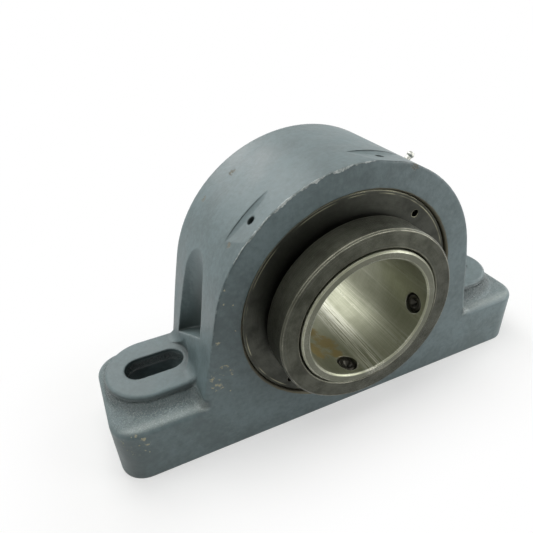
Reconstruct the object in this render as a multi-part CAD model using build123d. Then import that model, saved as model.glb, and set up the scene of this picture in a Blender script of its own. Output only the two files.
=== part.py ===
from build123d import *
import os
from math import sin, cos, tan, asin, radians, degrees, hypot, sqrt, pi

# Pillow block bearing: a one-piece cast housing with a self-aligning double-row roller bearing,
# a threaded end cover and a shaft collar with two set screws. All sizes are in millimetres.
# Frame: X runs along the base, Y along the shaft (the collar is at the -Y end), Z is up.
# The origin is on the underside of the base, below the middle plane of the bearing.

os.makedirs("parts", exist_ok=True)

# Fits and clearances
SEAT = 0.02             # seated rings and fixed pieces, on the radius
RUN = 0.10              # running gap between pieces that turn or tilt against each other
THREAD_FIT = 0.05       # plain cylinders that stand for a screw thread and its nut

# Shaft and bearing
SHAFT_R = 50.0          # bore of the inner ring
CENTRE_Z = 107.95       # height of the shaft above the base
RING_HALF_W = 23.0      # half the width of the outer ring
OUTER_RING_WALL = 8.2   # between the middle of the spherical raceway and the ring's outside
OIL_GROOVE_W = 9.0
OIL_GROOVE_DEPTH = 2.2
OIL_HOLE_R = 2.5
OIL_HOLES = 3

# Rollers, two rows
ROLLERS = 18            # in each row
ROLLER_R = 10.2         # at the middle of the barrel
RACE_WALL = 10.2        # inner ring between the bore and the deepest line of a raceway
ROLLER_LENGTH = 18.0
ROLLER_CROWN_R = 79.0   # radius of the barrel's side
ROLLER_CHAMFER = 0.8
ROW_Y = 11.636          # from the bearing's middle plane to the middle of each row
LIP_RISE = 1.0          # outer lips of the inner ring above the land of the seals
GUIDE_RISE = 1.1        # middle land between the raceways above these lips
CAGE_T = 2.2            # thickness of the pressed cages
CAGE_RIM = 1.75         # width of the cage rims beyond the rollers
CAGE_FLANGE = 5.8       # how far the outer rim is bent in from the pitch line
POCKET_GAP = 0.2        # cage pocket around each roller, on each side

# Inner ring outside the raceways
LAND_WALL = 10.0        # between the bore and the land on which the seals run
COLLAR_STEP = 3.0       # the collar's seat lies this much below that land
RING_FRONT_Y = -82.0
RING_REAR_Y = 42.0
RING_CHAMFER = 1.2

# Locking collar and its screws
COLLAR_WALL = 14.75
COLLAR_FRONT_Y = -80.4
COLLAR_REAR_Y = -57.2
COLLAR_GAP = 0.75       # slip gap between the collar and the inner ring
COLLAR_CHAMFER = 1.2
SET_SCREW_R = 7.94
SET_SCREW_LENGTH = 19.0
SET_SCREW_BACK = 0.6    # how far the cup points stand back from the bore
SET_SCREW_ANGLES = (258.5, 348.5)
SCREW_CLEAR = 0.5       # clearance holes for these screws in the inner ring
SOCKET_AF_SHARE = 0.5   # hexagon socket across its flats, as a share of the screw's diameter

# Seals: each ring swivels in a spherical seat and follows the tilt of the shaft
SEAL_RIM = 1.0          # thickness of the front seal's steel ring at its outer face
RUBBER_DEPTH = 4.2      # from the land to where the rubber meets the steel ring
SEAL_W = 9.6
FRONT_SEAL_GAP = 10.2   # from the outer ring's face to the seal
REAR_SEAL_GAP = 3.2
LIP_T = 1.6             # thickness of each rubber lip at its root

# Threaded end cover
THREAD_STEP = 0.9       # radius of the thread in the mouth above that of the outer ring
COVER_FACE_Y = -53.1
COVER_GAP = 5.4         # between the cover's bore and the land of the inner ring
SPANNER_HOLES = 2
SPANNER_HOLE_R = 2.9
SPANNER_HOLE_DEPTH = 9.0
SPANNER_INSET = 9.5     # holes' circle below the thread
SPANNER_ANGLE = 49.4
COVER_CHAMFER = 0.8

# Lock screws of the cover, in radial holes through the front rim of the housing
LOCK_ANGLES = (131.7, 76.8)
LOCK_Y = -41.1
LOCK_R = 3.175
LOCK_LENGTH = 7.9
PLUG_LENGTH = 3.0       # soft plug under each lock screw
FLAT_DEPTH = 2.3        # depth of the sloping flat around each hole, at its rear end
FLAT_FRONT_DEPTH = 0.4  # and at the front edge
FLAT_REAR_Y = -32.8

# Housing
BASE_LENGTH = 387.35
FRONT_Y = -55.6
REAR_Y = 39.6
BASE_CORNER_R = 21.0
SHELF_Z = 49.8          # top of the foot beside the bolt pads
SHELF_EDGE_R = 4.5
HOUSING_WALL = 21.0     # between the thread and the outside of the arch
SIDE_FLARE = 12.0       # degrees from the vertical
FOOT_FILLET_R = 9.0
MOUTH_CHAMFER = 1.4
ROUND_FADE_R = 400.0    # the rounding of the shelf's edge fades out along this curve up the side
SHOULDER_STEP = 1.0     # bore of the shoulder behind the outer ring above the seals' seats
REAR_BORE_GAP = 9.0     # between the rear bore and the land of the inner ring

# Bolt pads
PAD_Z = 60.0
PAD_HALF_W = 32.5
PAD_INSET = 5.675       # from the end of the base to the end of the pad
PAD_DRAFT = 10.0        # degrees
PAD_EDGE_R = 2.5
PAD_STEP_Z = 54.3       # the steep flank of the pad ends here, on a gentle slope down to the shelf
SLOPE_FRONT = 12.0      # how far the gentle slope reaches out on the front side
SLOPE_REAR = 1.4        # and on the rear side
SLOPE_END = 1.5         # and at the end of the foot
BOLT_INSET = 39.0       # from the end of the pad to the middle of the slot
SLOT_HALF_W = 12.0
SLOT_LENGTH = 48.0

# Cored pockets in the sides of the arch, between the front and rear ribs: elliptical troughs
POCKET_WALL = 11.0      # between the deepest line of the trough and the outer ring
POCKET_DEPTH = 21.0     # half-axis of the ellipse along X
POCKET_Y = -6.0
POCKET_HALF_W = 26.0    # half-axis of the ellipse along Y
POCKET_FLOOR_Z = 83.5   # at the middle of the pocket
POCKET_FLOOR_TILT = 30  # the floor falls towards the rear, degrees
NUT_CLEAR_R = 24.0      # shallow round recess for the bolt head, below the pocket
NUT_INSET = 4.5         # its middle lies this much nearer to the arch than the slot's

# Grease fitting
FITTING_ANGLE = 43.5
FITTING_THREAD_R = 4.9
FITTING_THREAD_LENGTH = 9.0
FITTING_HEX_AF = 11.1
FITTING_HEX_H = 4.6
FITTING_NECK_R = 2.5
FITTING_HEAD_R = 3.25
FITTING_HEIGHT = 13.0
SPOT_FACE_R = 8.0       # round seat cut into the arch below the hexagon
SPOT_FACE_DEPTH = 1.5
GREASE_DUCT_R = 2.5
FITTING_BORE_R = 1.3
FITTING_MOUTH_R = 0.7
FITTING_SEAT_Z = 12.1   # top of the cone on which the check ball seats, above the spot face
CHECK_BALL_R = 1.15
SPRING_WIRE = 0.3       # side of the square wire
SPRING_R = 0.9          # to the middle of the wire
SPRING_TURNS = 5
SPRING_LENGTH = 7.0

# Sizes that follow from these walls and steps
FRONT_SEAL_Y = -RING_HALF_W - FRONT_SEAL_GAP
REAR_SEAL_Y = RING_HALF_W + REAR_SEAL_GAP
LAND_R = SHAFT_R + LAND_WALL
LIP_R = LAND_R + LIP_RISE
GUIDE_LAND_R = LIP_R + GUIDE_RISE
COLLAR_SEAT_R = LAND_R - COLLAR_STEP
COLLAR_R = COLLAR_SEAT_R + COLLAR_GAP + COLLAR_WALL
SEAL_BORE_R = LAND_R + RUBBER_DEPTH
COVER_BORE_R = LAND_R + COVER_GAP
REAR_BORE_R = LAND_R + REAR_BORE_GAP
PITCH_R = SHAFT_R + RACE_WALL + RUN + ROLLER_R      # from the bearing's centre to a roller's centre
SPHERE_R = PITCH_R + ROLLER_R + RUN                 # spherical raceway in the outer ring
RING_OUTER_R = SPHERE_R + OUTER_RING_WALL
SEAL_SPHERE_R = hypot(SEAL_BORE_R + SEAL_RIM, FRONT_SEAL_Y - SEAL_W)    # seats of both seals
SHOULDER_R = SEAL_SPHERE_R + SHOULDER_STEP
THREAD_R = RING_OUTER_R + THREAD_STEP
SPANNER_CIRCLE_R = THREAD_R - SPANNER_INSET
ARCH_R = THREAD_R + HOUSING_WALL

# Places that follow
POCKET_X = RING_OUTER_R + POCKET_WALL
PAD_END_X = BASE_LENGTH / 2 - PAD_INSET
BOLT_X = PAD_END_X - BOLT_INSET
SCREW_Y = (COLLAR_FRONT_Y + COLLAR_REAR_Y) / 2
ALPHA = asin(ROW_Y / PITCH_R)           # tilt of each row
SHAFT_AXIS = Axis((0, 0, CENTRE_Z), (0, 1, 0))
BIG = 500.0


def save(shape, name):
    export_step(shape, f"parts/{name}.step")


def on_shaft(shape):
    """Lift a shape built round the Y axis to the height of the shaft."""
    return Pos(0, 0, CENTRE_Z) * shape


def turned(points):
    """Solid of revolution about the shaft from (radius, y) corners."""
    return on_shaft(revolve(make_face(Polyline(*points, close=True)), Axis.Y))


def cylinder_y(radius, y_from, y_to):
    """Cylinder along the shaft's direction between two planes."""
    middle = (y_from + y_to) / 2
    return on_shaft(Pos(0, middle, 0) * Rot(90, 0, 0) * Cylinder(radius, abs(y_to - y_from)))


def radial(angle, y):
    """Place whose Z axis points away from the shaft, at an angle seen from the front."""
    return Pos(0, y, CENTRE_Z) * Rot(0, 90 - angle, 0)


def sphere_reach(radius, y):
    """Radius of the circle where a sphere round the bearing's centre meets the plane y."""
    return sqrt(radius * radius - y * y)


def ball(radius):
    return on_shaft(Sphere(radius))


# Row frame: u runs along the roller's axis towards +Y, v runs outwards through its middle

def row_point(side, u, v):
    """(radius, y) of a point in the frame of the front (-1) or rear (+1) row."""
    along = PITCH_R + v
    return (along * cos(ALPHA) - side * u * sin(ALPHA), side * along * sin(ALPHA) + u * cos(ALPHA))


def roller_place(side, index):
    around = Rot(0, 360 / ROLLERS * (index + 0.25 * (1 + side)), 0)
    centre = Pos(PITCH_R * cos(ALPHA), side * PITCH_R * sin(ALPHA), 0)
    return Pos(0, 0, CENTRE_Z) * around * centre * Rot(0, 0, side * degrees(ALPHA))


def crown_drop(half_length):
    """How far the barrel's side falls in from its middle to its end."""
    return ROLLER_CROWN_R - sqrt(ROLLER_CROWN_R ** 2 - half_length ** 2)


def make_roller():
    half = ROLLER_LENGTH / 2
    flat = half - ROLLER_CHAMFER
    edge = ROLLER_R - crown_drop(flat)
    side = ThreePointArc((edge, -flat), (ROLLER_R, 0), (edge, flat))
    rest = Polyline((edge, flat), (edge - ROLLER_CHAMFER, half), (0, half), (0, -half),
                    (edge - ROLLER_CHAMFER, -half), (edge, -flat))
    return revolve(make_face([side, rest]), Axis.Y)


def make_rollers(side):
    roller = make_roller()
    return Compound(children=[roller_place(side, index) * roller for index in range(ROLLERS)])


def make_cage(side):
    """Pressed cage of one row: an L-shaped ring with a window for each roller."""
    window = ROLLER_LENGTH + 2 * POCKET_GAP
    half = window / 2
    end = half + CAGE_RIM
    bend = half + CAGE_RIM / 3
    out = side                              # the flange is at the row's outer end
    section = [(-out * end, -CAGE_T / 2), (-out * end, CAGE_T / 2), (out * end, CAGE_T / 2),
               (out * end, -CAGE_FLANGE), (out * bend, -CAGE_FLANGE), (out * bend, -CAGE_T / 2)]
    cage = turned([row_point(side, u, v) for u, v in section])
    pocket = Box(4 * CAGE_T, window, 2 * (ROLLER_R + POCKET_GAP))
    return cage - [roller_place(side, index) * pocket for index in range(ROLLERS)]


def make_guide_ring():
    """Floating ring between the rows, a wedge that follows the rollers' end faces."""
    bottom = GUIDE_LAND_R + RUN
    half = ROLLER_LENGTH / 2 + RUN
    top = row_point(-1, half, -CAGE_T / 2)[0] - RUN
    end_r, end_y = row_point(-1, half, 0)
    slope = tan(ALPHA)

    def half_width(radius):
        return abs(end_y) + (radius - end_r) * slope

    low, high = half_width(bottom), half_width(top)
    return turned([(bottom, -low), (top, -high), (top, high), (bottom, low)])


def raceway_tool(side):
    """Ring-shaped cutter with the barrel's profile, one running gap larger than the rollers."""
    half = ROLLER_LENGTH / 2 + RUN
    depth = ROLLER_R + RUN
    edge = depth - crown_drop(half)
    ends = [row_point(side, -half, -edge), row_point(side, 0, -depth), row_point(side, half, -edge)]
    top = [row_point(side, half, 0), row_point(side, -half, 0)]
    return on_shaft(revolve(make_face([ThreePointArc(*ends),
                                       Polyline(ends[2], top[0], top[1], ends[0])]), Axis.Y))


def make_inner_ring():
    lip_y = RING_HALF_W
    step_y = lip_y + 1.5
    profile = [(SHAFT_R + RING_CHAMFER, RING_FRONT_Y), (COLLAR_SEAT_R - RING_CHAMFER, RING_FRONT_Y),
               (COLLAR_SEAT_R, RING_FRONT_Y + RING_CHAMFER), (COLLAR_SEAT_R, COLLAR_REAR_Y),
               (LAND_R, COLLAR_REAR_Y), (LAND_R, -step_y), (LIP_R, -lip_y),
               (LIP_R, -lip_y / 2), (GUIDE_LAND_R, -lip_y / 2), (GUIDE_LAND_R, lip_y / 2),
               (LIP_R, lip_y / 2), (LIP_R, lip_y), (LAND_R, step_y), (LAND_R, RING_REAR_Y - RING_CHAMFER),
               (LAND_R - RING_CHAMFER, RING_REAR_Y), (SHAFT_R + RING_CHAMFER, RING_REAR_Y),
               (SHAFT_R, RING_REAR_Y - RING_CHAMFER), (SHAFT_R, RING_FRONT_Y + RING_CHAMFER)]
    ring = turned(profile) - raceway_tool(-1) - raceway_tool(1)
    hole = Pos(0, 0, COLLAR_SEAT_R) * Cylinder(SET_SCREW_R + SCREW_CLEAR, 2 * (COLLAR_SEAT_R - SHAFT_R) + 4)
    return ring - [radial(angle, SCREW_Y) * hole for angle in SET_SCREW_ANGLES]


def make_outer_ring():
    groove_r = RING_OUTER_R - OIL_GROOVE_DEPTH
    half = OIL_GROOVE_W / 2
    edge = sphere_reach(SPHERE_R, RING_HALF_W)
    front, rear = (edge, -RING_HALF_W), (edge, RING_HALF_W)
    outside = Polyline(rear, (RING_OUTER_R, RING_HALF_W), (RING_OUTER_R, half), (groove_r, half),
                       (groove_r, -half), (RING_OUTER_R, -half), (RING_OUTER_R, -RING_HALF_W), front)
    raceway = ThreePointArc(front, (SPHERE_R, 0), rear)
    ring = on_shaft(revolve(make_face([raceway, outside]), Axis.Y))
    hole = Pos(0, 0, RING_OUTER_R) * Cylinder(OIL_HOLE_R, 3 * OUTER_RING_WALL)
    return ring - [radial(FITTING_ANGLE + index * 360 / OIL_HOLES, 0) * hole for index in range(OIL_HOLES)]


def make_collar():
    bore = COLLAR_SEAT_R + COLLAR_GAP
    edge = COLLAR_CHAMFER
    collar = turned([(bore + edge, COLLAR_FRONT_Y), (COLLAR_R - edge, COLLAR_FRONT_Y),
                     (COLLAR_R, COLLAR_FRONT_Y + edge), (COLLAR_R, COLLAR_REAR_Y - edge),
                     (COLLAR_R - edge, COLLAR_REAR_Y), (bore, COLLAR_REAR_Y),
                     (bore, COLLAR_FRONT_Y + edge)])
    hole = Pos(0, 0, (bore + COLLAR_R) / 2) * Cylinder(SET_SCREW_R + THREAD_FIT, 2 * (COLLAR_R - bore))
    return collar - [radial(angle, SCREW_Y) * hole for angle in SET_SCREW_ANGLES]


def socket_screw(radius, length, cup=True):
    """Headless screw along Z with its point at z = 0 and a hexagon socket at the top."""
    point = radius * 0.25
    profile = [(0, 0), (radius - point, 0), (radius, point), (radius, length - point / 2),
               (radius - point / 2, length), (0, length)]
    screw = revolve(make_face(Polyline(*[(r, 0, z) for r, z in profile], close=True)), Axis.Z)
    across = 2 * radius * SOCKET_AF_SHARE
    depth = radius * 1.1
    socket = extrude(RegularPolygon(across / 2, 6, major_radius=False), depth)
    screw -= Pos(0, 0, length - depth) * socket
    if cup:
        screw -= Cone(radius * 0.5, 0, radius * 0.5, align=(Align.CENTER, Align.CENTER, Align.MIN))
    return screw


def make_set_screws():
    screw = socket_screw(SET_SCREW_R, SET_SCREW_LENGTH)
    place = Pos(0, 0, SHAFT_R + SET_SCREW_BACK)
    return Compound(children=[radial(angle, SCREW_Y) * place * screw for angle in SET_SCREW_ANGLES])


def make_lock_screws():
    screw = socket_screw(LOCK_R, LOCK_LENGTH, cup=False)
    place = Pos(0, 0, THREAD_R + PLUG_LENGTH)
    return Compound(children=[radial(angle, LOCK_Y) * place * screw for angle in LOCK_ANGLES])


def make_lock_plugs():
    plug = Cylinder(LOCK_R - SEAT, PLUG_LENGTH, align=(Align.CENTER, Align.CENTER, Align.MIN))
    place = Pos(0, 0, THREAD_R)
    return Compound(children=[radial(angle, LOCK_Y) * place * plug for angle in LOCK_ANGLES])


def make_cover():
    outer = THREAD_R - THREAD_FIT
    inner_y = FRONT_SEAL_Y + SEAT
    cover = turned([(SEAL_SPHERE_R, -RING_HALF_W), (outer, -RING_HALF_W),
                    (outer, COVER_FACE_Y + COVER_CHAMFER), (outer - COVER_CHAMFER, COVER_FACE_Y),
                    (COVER_BORE_R, COVER_FACE_Y), (COVER_BORE_R, inner_y), (SEAL_SPHERE_R, inner_y)])
    cover -= ball(SEAL_SPHERE_R)
    hole = cylinder_y(SPANNER_HOLE_R, COVER_FACE_Y - 1, COVER_FACE_Y + SPANNER_HOLE_DEPTH)
    for index in range(SPANNER_HOLES):
        angle = radians(SPANNER_ANGLE + index * 360 / SPANNER_HOLES)
        cover -= Pos(SPANNER_CIRCLE_R * cos(angle), 0, SPANNER_CIRCLE_R * sin(angle)) * hole
    return cover


def make_seal_ring(y_near, out):
    """Steel carrier of a seal, with a spherical rim; out is -1 at the front and +1 at the rear."""
    y_far = y_near + out * SEAL_W
    blank = turned([(SEAL_BORE_R, y_near), (SEAL_SPHERE_R, y_near), (SEAL_SPHERE_R, y_far),
                    (SEAL_BORE_R, y_far)])
    return blank & ball(SEAL_SPHERE_R - RUN)


def make_seal_lip(y_near, out):
    """Rubber bonded into the carrier: a body with two lips that run on the inner ring."""
    y_far = y_near + out * SEAL_W
    inner = LAND_R + RUN
    mid = (SEAL_BORE_R + inner) / 2
    inset = 0.4 * out
    near, far = y_near + inset, y_far - inset
    centre = (near + far) / 2
    return turned([(SEAL_BORE_R, near), (mid, near), (inner, near + out * LIP_T / 2),
                   (inner, near + out * LIP_T), (mid, centre), (inner, far - out * LIP_T),
                   (inner, far - out * LIP_T / 2), (mid, far), (SEAL_BORE_R, far)])


# Front outline of the housing: arch, flared sides and the rounded foot of each side

def front_plane(y):
    """Plane across the shaft, seen from the front."""
    return Plane(origin=(0, y, 0), x_dir=(1, 0, 0), z_dir=(0, -1, 0))


def side_outline(floor_z):
    """Right side of the arch: where the flare leaves the arch, and both ends of a fillet at floor_z."""
    flare = radians(SIDE_FLARE)
    touch = (ARCH_R * cos(flare), CENTRE_Z + ARCH_R * sin(flare))
    reach = FOOT_FILLET_R * tan((pi / 2 - flare) / 2)
    corner_x = touch[0] + (touch[1] - floor_z) * tan(flare)
    low = (corner_x + reach, floor_z)
    high = (corner_x - reach * sin(flare), floor_z + reach * cos(flare))
    return touch, high, low


def make_front_outline():
    """Face in the XZ plane: closed by the base's underside."""
    touch = side_outline(0)[0]
    foot_x = touch[0] + touch[1] * tan(radians(SIDE_FLARE))
    arch = ThreePointArc((-touch[0], touch[1]), (0, CENTRE_Z + ARCH_R), touch)
    rest = Polyline(touch, (foot_x, 0), (-foot_x, 0), (-touch[0], touch[1]))
    return make_face([arch, rest])


def foot_section(floor_z):
    """Section of the fillet between the flared side and a floor at floor_z."""
    high, low = side_outline(floor_z)[1:]
    deep = floor_z - FOOT_FILLET_R
    inside = high[0] - 2 * FOOT_FILLET_R
    curve = JernArc(low, (-1, 0), FOOT_FILLET_R, SIDE_FLARE - 90)
    return make_face([curve, Polyline(curve @ 1, (inside, high[1]), (inside, deep), (low[0], deep), low)])


def make_foot_fillet():
    """Fillet at the foot of the right side, which follows the shelf, the slope and the bolt pad."""
    grow = (PAD_Z - PAD_STEP_Z) * tan(radians(PAD_DRAFT))
    front, rear = -PAD_HALF_W - grow, PAD_HALF_W + grow
    top_y = PAD_HALF_W - 0.75 * PAD_EDGE_R
    edge_z = PAD_Z - 0.75 * PAD_EDGE_R
    stops = [(FRONT_Y, SHELF_Z), (front - SLOPE_FRONT, SHELF_Z), (front, PAD_STEP_Z), (-PAD_HALF_W, edge_z),
             (-top_y, PAD_Z), (top_y, PAD_Z), (PAD_HALF_W, edge_z), (rear, PAD_STEP_Z),
             (rear + SLOPE_REAR, SHELF_Z), (REAR_Y, SHELF_Z)]
    return loft([front_plane(y) * foot_section(z) for y, z in stops], ruled=True)


def make_base():
    """Foot of the casting: a long block with rounded corners and a rounded upper edge."""
    plan = Pos(0, (FRONT_Y + REAR_Y) / 2) * RectangleRounded(BASE_LENGTH, REAR_Y - FRONT_Y, BASE_CORNER_R)
    base = extrude(plan, SHELF_Z)
    return fillet(base.faces().sort_by(Axis.Z)[-1].edges(), SHELF_EDGE_R)


def make_edge_rounding():
    """Cutter for the right front edge: it rounds the shelf and the foot, and fades out up the side."""
    high, low = side_outline(SHELF_Z)[1:]
    r = SHELF_EDGE_R
    foot = JernArc(low, (-1, 0), FOOT_FILLET_R, SIDE_FLARE - 90)
    fade = JernArc(high, foot % 1, ROUND_FADE_R, -1.1 * degrees(sqrt(2 * r / ROUND_FADE_R)))
    shelf = Line((low[0] + r, SHELF_Z), low)
    path = front_plane(FRONT_Y) * Wire([shelf, foot, fade])
    corner = Rectangle(r + 1, r + 1, align=(Align.MIN, Align.MIN)) - Circle(r)
    profile = Plane(origin=path @ 0, x_dir=(0, -1, 0), z_dir=path % 0) * Pos(-r, -r) * corner
    return sweep(profile, path=path)


def pad_outline(front, rear, end_x, z):
    """Plan of one pad, from the middle of the base to a half-round end."""
    half = (rear - front) / 2
    centre = (end_x - half, (front + rear) / 2)
    block = Pos(0, centre[1]) * Rectangle(centre[0], 2 * half, align=(Align.MIN, Align.CENTER))
    return Pos(0, 0, z) * (block + Pos(*centre) * Circle(half))


def make_pad(side):
    """Raised bolt pad: a steep flank above, and a gentle slope from its foot down to the shelf."""
    grow = (PAD_Z - PAD_STEP_Z) * tan(radians(PAD_DRAFT))
    front, rear, end_x = -PAD_HALF_W - grow, PAD_HALF_W + grow, PAD_END_X + grow
    step = pad_outline(front, rear, end_x, PAD_STEP_Z)
    pad = extrude(step, PAD_Z - PAD_STEP_Z, taper=PAD_DRAFT)
    top = pad.faces().sort_by(Axis.Z)[-1].edges().filter_by(lambda edge: edge.center().X > 1)
    pad = fillet(top, PAD_EDGE_R)
    foot = pad_outline(front - SLOPE_FRONT, rear + SLOPE_REAR, end_x + SLOPE_END, SHELF_Z)
    pad = pad + loft([foot.face(), step.face()], ruled=True)
    return pad if side > 0 else mirror(pad, Plane.YZ)


def make_side_trough():
    """Cutter for the cored pocket in the right side of the arch."""
    plan = Ellipse(POCKET_DEPTH, POCKET_HALF_W) + Rectangle(
        BIG / 5, 2 * POCKET_HALF_W, align=(Align.MIN, Align.CENTER))
    trough = extrude(Pos(POCKET_X + POCKET_DEPTH, POCKET_Y, PAD_Z) * plan, ARCH_R)
    below = Pos(POCKET_X, POCKET_Y, POCKET_FLOOR_Z) * Rot(-POCKET_FLOOR_TILT, 0, 0) * Box(
        BIG, BIG, BIG, align=(Align.CENTER, Align.CENTER, Align.MAX))
    return trough - below


def make_arch():
    """Arch and its flared sides, with the lower edges rounded and a cored pocket in each side."""
    arch = extrude(front_plane(REAR_Y) * make_front_outline(), REAR_Y - FRONT_Y)
    fillet_right = make_foot_fillet()
    arch = arch + fillet_right + mirror(fillet_right, Plane.YZ)
    middle = Plane.XZ.offset(-(FRONT_Y + REAR_Y) / 2)
    front = make_edge_rounding()
    rear = mirror(front, middle)
    arch = arch - front - rear - mirror(front, Plane.YZ) - mirror(rear, Plane.YZ)
    trough = make_side_trough()
    return arch - trough - mirror(trough, Plane.YZ)


def make_nut_recess(side):
    """Cutter for the round recess that clears the bolt head, below the pocket."""
    return Pos(side * (BOLT_X - NUT_INSET), 0, PAD_Z) * Cylinder(
        NUT_CLEAR_R, POCKET_FLOOR_Z - PAD_Z, align=(Align.CENTER, Align.CENTER, Align.MIN))


def make_slot(side):
    return Pos(side * BOLT_X, 0, 0) * extrude(SlotOverall(SLOT_LENGTH, 2 * SLOT_HALF_W), BIG)


def make_lock_flat(angle):
    """Cutter for the flat round a lock screw's hole, which slopes in from the front edge."""
    width = FLAT_REAR_Y - FRONT_Y
    corners = [(-1, -FLAT_FRONT_DEPTH), (width, -FLAT_DEPTH), (width, BIG / 10), (-1, BIG / 10)]
    wedge = make_face(Polyline(*corners, close=True))
    block = Plane(origin=(0, 0, 0), x_dir=(0, 1, 0), z_dir=(1, 0, 0)) * extrude(wedge, ARCH_R / 2, both=True)
    return radial(angle, FRONT_Y) * Pos(0, 0, ARCH_R) * block


def make_housing():
    body = make_arch() + make_base() + make_pad(1) + make_pad(-1)
    for side in (-1, 1):
        body = body - make_nut_recess(side) - make_slot(side)
    body = body - [make_lock_flat(angle) for angle in LOCK_ANGLES]
    seat = RING_OUTER_R + SEAT
    bore = turned([(0, FRONT_Y - 1), (THREAD_R + MOUTH_CHAMFER + 1, FRONT_Y - 1),
                   (THREAD_R, FRONT_Y + MOUTH_CHAMFER), (THREAD_R, -RING_HALF_W), (seat, -RING_HALF_W),
                   (seat, RING_HALF_W), (SHOULDER_R, RING_HALF_W), (SHOULDER_R, REAR_SEAL_Y - SEAT),
                   (0, REAR_SEAL_Y - SEAT)])
    body = body - bore - cylinder_y(REAR_BORE_R, 0, REAR_Y + 1) - ball(SEAL_SPHERE_R)
    lock_hole = Cylinder(LOCK_R + THREAD_FIT, BIG / 10, align=(Align.CENTER, Align.CENTER, Align.MIN))
    for angle in LOCK_ANGLES:
        body = body - radial(angle, LOCK_Y) * Pos(0, 0, THREAD_R - 1) * lock_hole
    thread = Cylinder(FITTING_THREAD_R + THREAD_FIT, BIG / 10, align=(Align.CENTER, Align.CENTER, Align.MIN))
    duct = Cylinder(GREASE_DUCT_R, BIG / 10, align=(Align.CENTER, Align.CENTER, Align.MIN))
    spot = Cylinder(SPOT_FACE_R, BIG / 10, align=(Align.CENTER, Align.CENTER, Align.MIN))
    place = fitting_place()
    body = body - place * spot - place * Pos(0, 0, -FITTING_THREAD_LENGTH - 1) * thread
    body = body - radial(FITTING_ANGLE, 0) * Pos(0, 0, RING_OUTER_R - 1) * duct
    return body


def make_fitting():
    """Straight grease fitting: threaded shank, hexagon, neck and round head, with a through bore."""
    shank = Pos(0, 0, -FITTING_THREAD_LENGTH) * Cylinder(
        FITTING_THREAD_R, FITTING_THREAD_LENGTH, align=(Align.CENTER, Align.CENTER, Align.MIN))
    hexagon = extrude(RegularPolygon(FITTING_HEX_AF / 2, 6, major_radius=False), FITTING_HEX_H)
    head_z = FITTING_HEIGHT - FITTING_HEAD_R
    top_r = FITTING_HEAD_R * 0.6
    head = [(0, FITTING_HEX_H), (FITTING_NECK_R + 1.0, FITTING_HEX_H), (FITTING_NECK_R, FITTING_HEX_H + 1.6),
            (FITTING_NECK_R, head_z - 1.0), (FITTING_HEAD_R, head_z + 0.6), (FITTING_HEAD_R, head_z + 1.4),
            (top_r, FITTING_HEIGHT), (0, FITTING_HEIGHT)]
    nipple = revolve(make_face(Polyline(*[(r, 0, z) for r, z in head], close=True)), Axis.Z)
    low = -FITTING_THREAD_LENGTH - 1
    cone_z = FITTING_SEAT_Z - (FITTING_BORE_R - FITTING_MOUTH_R)
    above = FITTING_HEIGHT + 1
    passage = [(0, low), (FITTING_BORE_R, low), (FITTING_BORE_R, cone_z),
               (FITTING_MOUTH_R, FITTING_SEAT_Z), (FITTING_MOUTH_R, above), (0, above)]
    bore = revolve(make_face(Polyline(*[(r, 0, z) for r, z in passage], close=True)), Axis.Z)
    return fitting_place() * (shank + hexagon + nipple - bore)


def fitting_place():
    """Middle of the spot face below the fitting's hexagon."""
    return radial(FITTING_ANGLE, 0) * Pos(0, 0, ARCH_R - SPOT_FACE_DEPTH)


def check_ball_z():
    """Height of the ball's centre where it rests on the 45 degree cone under the mouth."""
    return FITTING_SEAT_Z + FITTING_MOUTH_R - (CHECK_BALL_R + SEAT) * sqrt(2)


def make_check_ball():
    return fitting_place() * Pos(0, 0, check_ball_z()) * Sphere(CHECK_BALL_R)


def make_check_spring():
    """Coil spring that presses the ball against its cone from below."""
    corner_r = SPRING_R - SPRING_WIRE / 2
    top = check_ball_z() - sqrt((CHECK_BALL_R + SEAT) ** 2 - corner_r ** 2) - SPRING_WIRE / 2 - SEAT
    path = Helix(SPRING_LENGTH / SPRING_TURNS, SPRING_LENGTH, SPRING_R)
    wire = Plane(origin=path @ 0, z_dir=path % 0) * Rectangle(SPRING_WIRE, SPRING_WIRE)
    return fitting_place() * Pos(0, 0, top - SPRING_LENGTH) * sweep(wire, path=path)


save(make_housing(), "housing")
save(make_cover(), "threaded_cover")
save(make_lock_screws(), "cover_lock_screws")
save(make_lock_plugs(), "lock_screw_plugs")
save(make_outer_ring(), "outer_ring")
save(make_inner_ring(), "inner_ring")
save(make_rollers(-1), "rollers_front")
save(make_rollers(1), "rollers_rear")
save(make_cage(-1), "cage_front")
save(make_cage(1), "cage_rear")
save(make_guide_ring(), "guide_ring")
save(make_seal_ring(FRONT_SEAL_Y, -1), "front_seal_ring")
save(make_seal_lip(FRONT_SEAL_Y, -1), "front_seal_lip")
save(make_seal_ring(REAR_SEAL_Y, 1), "rear_seal_ring")
save(make_seal_lip(REAR_SEAL_Y, 1), "rear_seal_lip")
save(make_collar(), "locking_collar")
save(make_set_screws(), "collar_set_screws")
save(make_fitting(), "grease_fitting")
save(make_check_ball(), "grease_check_ball")
save(make_check_spring(), "grease_check_spring")
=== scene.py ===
import logging
import math
from dataclasses import dataclass, field
from enum import Enum
from typing import Any

import bpy
import numpy as np
from mathutils import Matrix, Vector


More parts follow.
